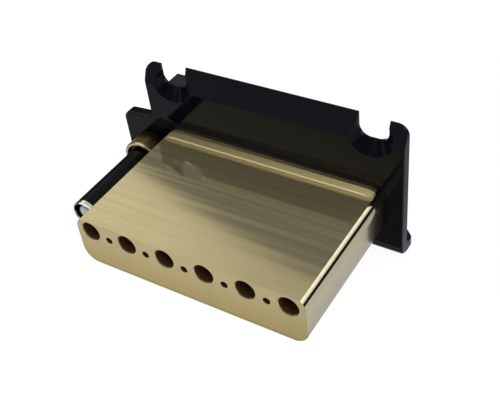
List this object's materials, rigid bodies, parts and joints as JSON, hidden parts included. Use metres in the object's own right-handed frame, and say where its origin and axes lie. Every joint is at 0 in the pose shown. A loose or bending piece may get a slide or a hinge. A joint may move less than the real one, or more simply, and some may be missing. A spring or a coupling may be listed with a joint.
{
  "type": "guitar tremolo bridge",
  "caption": "Two-point fulcrum guitar bridge: notched black plate with sliding saddles, brass inertia block with ball-end and spring holes, and a side arm socket.",
  "frame": {"origin": "middle of the pivot line, on the plate's top face where the two knife edges are", "axes": "+X across the strings towards the bass side, +Y out of the plate's top face (saddles at +Y, block at -Y), +Z towards the neck"},
  "size_m": [0.0819, 0.0495, 0.0419],
  "materials": {
    "plate_black": "gloss black plating",
    "block_brass": "brushed along the width",
    "screw_black": "black oxide",
    "socket_black": "semi-gloss black",
    "liner_plastic": "satin",
    "collar_brass": "knurled",
    "end_chrome": "polished",
    "saddle_black": "gloss black plating",
    "spring_steel": "black wire"
  },
  "bodies": {
    "bridge": {"base_plate": "plate_black", "inertia_block": "block_brass", "block_screws": "screw_black", "arm_socket_tube": "socket_black", "arm_socket_liner": "liner_plastic", "arm_tube_end_ring": "end_chrome", "intonation_spring_1": "spring_steel", "intonation_spring_2": "spring_steel", "intonation_spring_3": "spring_steel", "intonation_spring_4": "spring_steel", "intonation_spring_5": "spring_steel", "intonation_spring_6": "spring_steel"},
    "arm_collar_nut": {"arm_collar_nut": "collar_brass"},
    "arm_height_screw": {"arm_height_screw": "end_chrome"},
    "intonation_screw_1": {"intonation_screw_1": "screw_black"},
    "saddle_1": {"saddle_1": "saddle_black"},
    "saddle_height_screws_1": {"saddle_height_screws_1": "screw_black"},
    "intonation_screw_2": {"intonation_screw_2": "screw_black"},
    "saddle_2": {"saddle_2": "saddle_black"},
    "saddle_height_screws_2": {"saddle_height_screws_2": "screw_black"},
    "intonation_screw_3": {"intonation_screw_3": "screw_black"},
    "saddle_3": {"saddle_3": "saddle_black"},
    "saddle_height_screws_3": {"saddle_height_screws_3": "screw_black"},
    "intonation_screw_4": {"intonation_screw_4": "screw_black"},
    "saddle_4": {"saddle_4": "saddle_black"},
    "saddle_height_screws_4": {"saddle_height_screws_4": "screw_black"},
    "intonation_screw_5": {"intonation_screw_5": "screw_black"},
    "saddle_5": {"saddle_5": "saddle_black"},
    "saddle_height_screws_5": {"saddle_height_screws_5": "screw_black"},
    "intonation_screw_6": {"intonation_screw_6": "screw_black"},
    "saddle_6": {"saddle_6": "saddle_black"},
    "saddle_height_screws_6": {"saddle_height_screws_6": "screw_black"}
  },
  "joints": [
    {"name": "arm_collar_turn", "type": "hinge", "parent": "bridge", "child": "arm_collar_nut", "pos_m": [-0.03695, -0.0063, -0.0204], "axis": [0, 1, 0], "continuous": true},
    {"name": "arm_height_slide", "type": "slide", "parent": "bridge", "child": "arm_height_screw", "axis": [0, 1, 0], "range_m": [-0.003, 0.004]},
    {"name": "intonation_turn_1", "type": "hinge", "parent": "bridge", "child": "intonation_screw_1", "pos_m": [-0.027, 0.004, -0.0334], "axis": [0, 0, 1], "range_deg": [-180, 4168.8]},
    {"name": "saddle_slide_1", "type": "slide", "parent": "bridge", "child": "saddle_1", "axis": [0, 0, 1], "range_m": [-0.00577, 0.00023], "deforming": ["intonation_spring_1"]},
    {"name": "height_screws_slide_1", "type": "slide", "parent": "saddle_1", "child": "saddle_height_screws_1", "axis": [0, 1, 0], "range_m": [0, 0.0012]},
    {"name": "intonation_turn_2", "type": "hinge", "parent": "bridge", "child": "intonation_screw_2", "pos_m": [-0.0162, 0.004, -0.0334], "axis": [0, 0, 1], "range_deg": [-1044, 3304.8]},
    {"name": "saddle_slide_2", "type": "slide", "parent": "bridge", "child": "saddle_2", "axis": [0, 0, 1], "range_m": [-0.00457, 0.00143], "deforming": ["intonation_spring_2"]},
    {"name": "height_screws_slide_2", "type": "slide", "parent": "saddle_2", "child": "saddle_height_screws_2", "axis": [0, 1, 0], "range_m": [0, 0.0012]},
    {"name": "intonation_turn_3", "type": "hinge", "parent": "bridge", "child": "intonation_screw_3", "pos_m": [-0.0054, 0.004, -0.0334], "axis": [0, 0, 1], "range_deg": [-1908, 2440.8]},
    {"name": "saddle_slide_3", "type": "slide", "parent": "bridge", "child": "saddle_3", "axis": [0, 0, 1], "range_m": [-0.00337, 0.00263], "deforming": ["intonation_spring_3"]},
    {"name": "height_screws_slide_3", "type": "slide", "parent": "saddle_3", "child": "saddle_height_screws_3", "axis": [0, 1, 0], "range_m": [0, 0.0012]},
    {"name": "intonation_turn_4", "type": "hinge", "parent": "bridge", "child": "intonation_screw_4", "pos_m": [0.0054, 0.004, -0.0334], "axis": [0, 0, 1], "range_deg": [-1044, 3304.8]},
    {"name": "saddle_slide_4", "type": "slide", "parent": "bridge", "child": "saddle_4", "axis": [0, 0, 1], "range_m": [-0.00457, 0.00143], "deforming": ["intonation_spring_4"]},
    {"name": "height_screws_slide_4", "type": "slide", "parent": "saddle_4", "child": "saddle_height_screws_4", "axis": [0, 1, 0], "range_m": [0, 0.0012]},
    {"name": "intonation_turn_5", "type": "hinge", "parent": "bridge", "child": "intonation_screw_5", "pos_m": [0.0162, 0.004, -0.0334], "axis": [0, 0, 1], "range_deg": [-1908, 2440.8]},
    {"name": "saddle_slide_5", "type": "slide", "parent": "bridge", "child": "saddle_5", "axis": [0, 0, 1], "range_m": [-0.00337, 0.00263], "deforming": ["intonation_spring_5"]},
    {"name": "height_screws_slide_5", "type": "slide", "parent": "saddle_5", "child": "saddle_height_screws_5", "axis": [0, 1, 0], "range_m": [0, 0.0012]},
    {"name": "intonation_turn_6", "type": "hinge", "parent": "bridge", "child": "intonation_screw_6", "pos_m": [0.027, 0.004, -0.0334], "axis": [0, 0, 1], "range_deg": [-3204, 1144.8]},
    {"name": "saddle_slide_6", "type": "slide", "parent": "bridge", "child": "saddle_6", "axis": [0, 0, 1], "range_m": [-0.00157, 0.00443], "deforming": ["intonation_spring_6"]},
    {"name": "height_screws_slide_6", "type": "slide", "parent": "saddle_6", "child": "saddle_height_screws_6", "axis": [0, 1, 0], "range_m": [0, 0.0012]}
  ],
  "couplings": [
    {"joint": "intonation_turn_1", "follows": "saddle_slide_1", "rad_per_m": -12566},
    {"joint": "intonation_turn_2", "follows": "saddle_slide_2", "rad_per_m": -12566},
    {"joint": "intonation_turn_3", "follows": "saddle_slide_3", "rad_per_m": -12566},
    {"joint": "intonation_turn_4", "follows": "saddle_slide_4", "rad_per_m": -12566},
    {"joint": "intonation_turn_5", "follows": "saddle_slide_5", "rad_per_m": -12566},
    {"joint": "intonation_turn_6", "follows": "saddle_slide_6", "rad_per_m": -12566}
  ]
}
